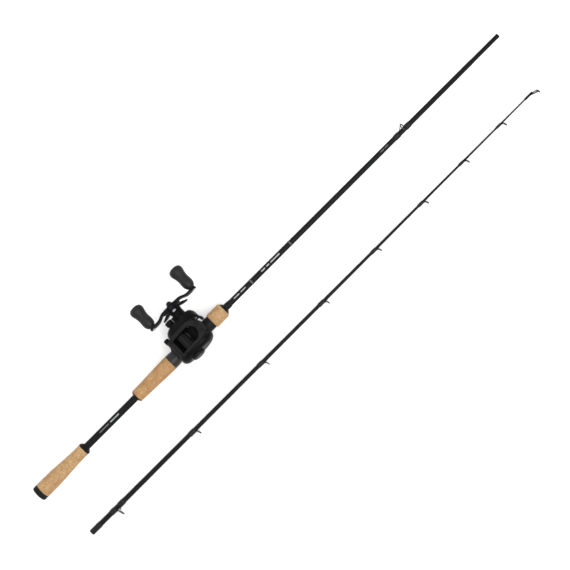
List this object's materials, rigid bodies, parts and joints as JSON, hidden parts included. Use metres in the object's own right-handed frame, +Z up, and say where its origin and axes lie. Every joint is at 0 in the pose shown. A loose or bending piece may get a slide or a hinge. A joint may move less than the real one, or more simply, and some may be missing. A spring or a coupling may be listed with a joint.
{
  "type": "fishing rod and reel",
  "caption": "Baitcasting rod in butt and tip sections with cork grips, line guides and a left-hand low-profile reel with level wind, star drag and brake dial.",
  "frame": {"origin": "centre of the butt cap's flat end, on the butt section's axis", "axes": "+X along the rod towards the tip, +Z up through the reel, +Y towards the reel handle"},
  "size_m": [1.1185, 0.2342, 0.08],
  "materials": {
    "graphite_blank": "satin clear coat over dark graphite",
    "cork": "sanded natural cork with pits and grain",
    "black_plastic": "fine matt moulded surface",
    "seat_plastic": "soft-touch satin surface",
    "black_metal": "satin black coating",
    "reel_shell": "fine-textured matt black paint",
    "reel_frame_paint": "satin dark grey paint",
    "spool_black": "gloss black anodised",
    "silver_trim": "satin silver paint",
    "ceramic_ring": "polished dark ceramic",
    "thread_wrap": "black thread under clear lacquer",
    "knob_rubber": "soft matt grip",
    "butt_rubber": "matt rubber",
    "bright_steel": "ground",
    "gear_brass": "machined",
    "drag_fibre": "woven friction disc",
    "magnet_steel": "plated"
  },
  "bodies": {
    "rod_butt": {"butt_cap": "butt_rubber", "butt_blank": "graphite_blank", "rear_grip": "cork", "rear_grip_check": "black_metal", "front_grip_check": "black_metal", "front_grip": "cork", "reel_seat": "seat_plastic", "blank_sleeve": "graphite_blank", "trim_rings": "silver_trim", "butt_guide_frame": "black_metal", "butt_guide_ring": "ceramic_ring", "butt_guide_wraps": "thread_wrap", "reel_foot": "black_metal", "reel_frame": "reel_frame_paint", "front_hood": "reel_shell", "handle_side_plate": "reel_shell", "side_plate_screws": "bright_steel", "drive_shaft_bearing": "bright_steel", "one_way_bearing": "bright_steel", "spool_bearing_left": "bright_steel", "guide_rod": "bright_steel"},
    "hood": {"moving_hood": "seat_plastic"},
    "foregrip": {"lock_nut": "seat_plastic", "foregrip_cork": "cork", "foregrip_check": "black_metal"},
    "rod_tip": {"tip_blank": "graphite_blank", "ferrule_sleeve": "thread_wrap", "stripper_guide_frame": "black_metal", "stripper_guide_ring": "ceramic_ring", "single_foot_frames": "black_metal", "single_foot_rings": "ceramic_ring", "tip_guide_wraps": "thread_wrap", "tip_top_frame": "black_metal", "tip_top_ring": "ceramic_ring"},
    "palm_plate": {"palm_side_plate": "reel_shell", "spool_bearing_right": "bright_steel"},
    "plate_screw": {"palm_plate_screw": "black_metal"},
    "dial": {"brake_dial": "black_plastic"},
    "magnets": {"magnet_holder": "black_plastic", "brake_magnets": "magnet_steel"},
    "spool": {"spool": "spool_black", "spool_shaft": "bright_steel"},
    "yoke": {"clutch_yoke": "black_plastic"},
    "pinion": {"pinion_gear": "gear_brass"},
    "thumb_bar": {"thumb_bar": "black_plastic"},
    "level_wind": {"line_guide": "black_plastic", "line_guide_insert": "ceramic_ring"},
    "worm": {"worm_shaft": "bright_steel", "worm_gear": "black_plastic"},
    "handle": {"drive_shaft": "bright_steel", "main_gear": "gear_brass", "worm_drive_gear": "black_plastic", "drag_washers": "drag_fibre", "handle_arm": "black_metal", "handle_nut": "black_metal", "knob_posts": "bright_steel"},
    "star": {"drag_star": "black_metal"},
    "knob_rear": {"rear_knob": "knob_rubber"},
    "knob_front": {"front_knob": "knob_rubber"},
    "tension": {"tension_knob": "black_metal"}
  },
  "joints": [
    {"name": "hood_slide", "type": "slide", "parent": "rod_butt", "child": "hood", "axis": [1, 0, 0], "range_m": [0, 0.00601]},
    {"name": "foregrip_turn", "type": "hinge", "parent": "hood", "child": "foregrip", "pos_m": [0.43, 0, 0], "axis": [1, 0, 0], "range_deg": [0, 1080]},
    {"name": "handle_spin", "type": "hinge", "parent": "rod_butt", "child": "handle", "pos_m": [0.3907, 0.05, 0.02435], "axis": [0, 1, 0], "continuous": true},
    {"name": "star_turn", "type": "hinge", "parent": "handle", "child": "star", "pos_m": [0.3907, 0.055, 0.02435], "axis": [0, 1, 0], "range_deg": [0, 540]},
    {"name": "knob_rear_spin", "type": "hinge", "parent": "handle", "child": "knob_rear", "pos_m": [0.3428, 0.085, 0.02435], "axis": [0, 1, 0], "continuous": true},
    {"name": "knob_front_spin", "type": "hinge", "parent": "handle", "child": "knob_front", "pos_m": [0.4386, 0.085, 0.02435], "axis": [0, 1, 0], "continuous": true},
    {"name": "spool_spin", "type": "hinge", "parent": "rod_butt", "child": "spool", "pos_m": [0.3686, 0, 0.028], "axis": [0, 1, 0], "continuous": true},
    {"name": "thumb_bar_press", "type": "slide", "parent": "rod_butt", "child": "thumb_bar", "axis": [0, 0, -1], "range_m": [0, 0.004]},
    {"name": "clutch_slide", "type": "slide", "parent": "rod_butt", "child": "yoke", "axis": [0, 1, 0], "range_m": [0, 0.002]},
    {"name": "pinion_spin", "type": "hinge", "parent": "yoke", "child": "pinion", "pos_m": [0.3686, 0.026, 0.028], "axis": [0, 1, 0], "continuous": true},
    {"name": "worm_spin", "type": "hinge", "parent": "rod_butt", "child": "worm", "pos_m": [0.401, 0, 0.01709], "axis": [0, 1, 0], "continuous": true},
    {"name": "line_guide_travel", "type": "slide", "parent": "rod_butt", "child": "level_wind", "axis": [0, 1, 0], "range_m": [-0.01, 0.01]},
    {"name": "tension_turn", "type": "hinge", "parent": "rod_butt", "child": "tension", "pos_m": [0.3686, 0.044, 0.028], "axis": [0, 1, 0], "range_deg": [-180, 180]},
    {"name": "palm_plate_slide", "type": "slide", "parent": "rod_butt", "child": "palm_plate", "axis": [0, -1, 0], "range_m": [0, 0.03]},
    {"name": "plate_screw_turn", "type": "hinge", "parent": "rod_butt", "child": "plate_screw", "pos_m": [0.3436, 0.02, 0.0215], "axis": [0, 1, 0], "range_deg": [0, 1080]},
    {"name": "brake_dial_turn", "type": "hinge", "parent": "palm_plate", "child": "dial", "pos_m": [0.3686, -0.034, 0.028], "axis": [0, -1, 0], "range_deg": [0, 300]},
    {"name": "magnet_slide", "type": "slide", "parent": "palm_plate", "child": "magnets", "axis": [0, 1, 0], "range_m": [0, 0.00151]},
    {"name": "tip_lift", "type": "slide", "parent": "rod_butt", "child": "rod_tip", "axis": [0, 0, 1], "range_m": [0, 0.3]}
  ],
  "couplings": [
    {"joint": "hood_slide", "follows": "foregrip_turn", "m_per_rad": 0.00031831},
    {"joint": "spool_spin", "follows": "handle_spin", "ratio": -5.4},
    {"joint": "pinion_spin", "follows": "handle_spin", "ratio": -5.4},
    {"joint": "worm_spin", "follows": "handle_spin", "ratio": -1.5714},
    {"joint": "clutch_slide", "follows": "thumb_bar_press", "ratio": 0.5},
    {"joint": "magnet_slide", "follows": "brake_dial_turn", "m_per_rad": 0.00028648}
  ]
}
